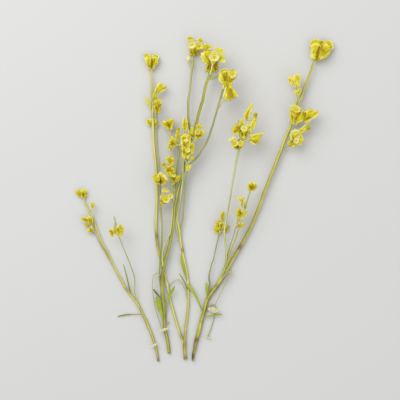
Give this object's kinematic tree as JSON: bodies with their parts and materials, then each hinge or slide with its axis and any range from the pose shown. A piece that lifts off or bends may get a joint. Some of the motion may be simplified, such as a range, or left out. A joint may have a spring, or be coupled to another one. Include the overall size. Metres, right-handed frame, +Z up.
{
  "type": "dried common everlasting",
  "caption": "Loose bunch of cut dried everlasting stems lying flat, with narrow leaves, papery yellow florets and nodding spent heads.",
  "frame": {"origin": "centre of the outer box in plan, at its lowest point, where the bunch rests on a surface", "axes": "+Z up from the surface it lies on; +Y along the bunch, from the cut ends towards the flower heads; +X across it"},
  "size_m": [0.2842, 0.3562, 0.0328],
  "materials": {
    "stem": "dry straw stem, matt with a faint ribbed sheen",
    "stem_green": "greener dry stem, matt",
    "thread": "pale thread-thin dry stalk, matt",
    "leaf": "lime green dry leaf, matt",
    "leaf_dry": "olive dry leaf, matt",
    "floret": "papery lemon yellow, soft sheen, cream rims and ochre grooves"
  },
  "bodies": {
    "root": {"stem_a": "stem", "branch_a_side": "stem", "strand_a_pale": "thread", "stem_b": "stem_green", "branch_s1": "stem", "branch_k": "stem", "branch_e": "stem", "stem_c": "stem", "stem_c_left": "stem", "branch_hj": "stem", "branch_i": "stem", "branch_t": "stem", "stem_d": "stem", "branch_x": "stem", "branch_d_mid": "stem", "strand_d_thin": "thread", "branch_d_left": "stem", "pedicel_a": "thread", "pedicel_n": "thread", "pedicel_m": "thread", "pedicel_m2": "thread", "pedicel_d1": "thread", "pedicel_d2": "thread", "leaf_b_dark": "leaf_dry", "leaf_b_lime": "leaf", "leaf_b_right": "leaf", "leaf_c_lime": "leaf", "leaf_c_thin": "leaf_dry", "leaf_c_long": "leaf", "leaf_d_tip": "leaf", "leaf_d_right": "leaf", "leaf_a_olive": "leaf_dry", "leaf_a_stray": "leaf_dry", "florets_s1": "floret", "florets_s2": "floret", "florets_s3_upper": "floret", "florets_s3_lower": "floret", "florets_z1": "floret", "florets_z2": "floret", "florets_z5": "floret", "petals_z4": "floret", "florets_z6": "floret", "florets_c_mid": "floret", "florets_z7": "floret", "florets_p1": "floret", "florets_p2": "floret", "florets_centre": "floret", "florets_w": "floret", "florets_w_low": "floret", "florets_x": "floret", "florets_d_left": "floret", "florets_d_mid": "floret", "floret_251": "floret", "florets_d_top": "floret", "florets_d5": "floret", "florets_d2": "floret", "florets_d4": "floret", "florets_a_top": "floret", "florets_a_mid": "floret", "florets_a_side": "floret"}
  },
  "joints": []
}
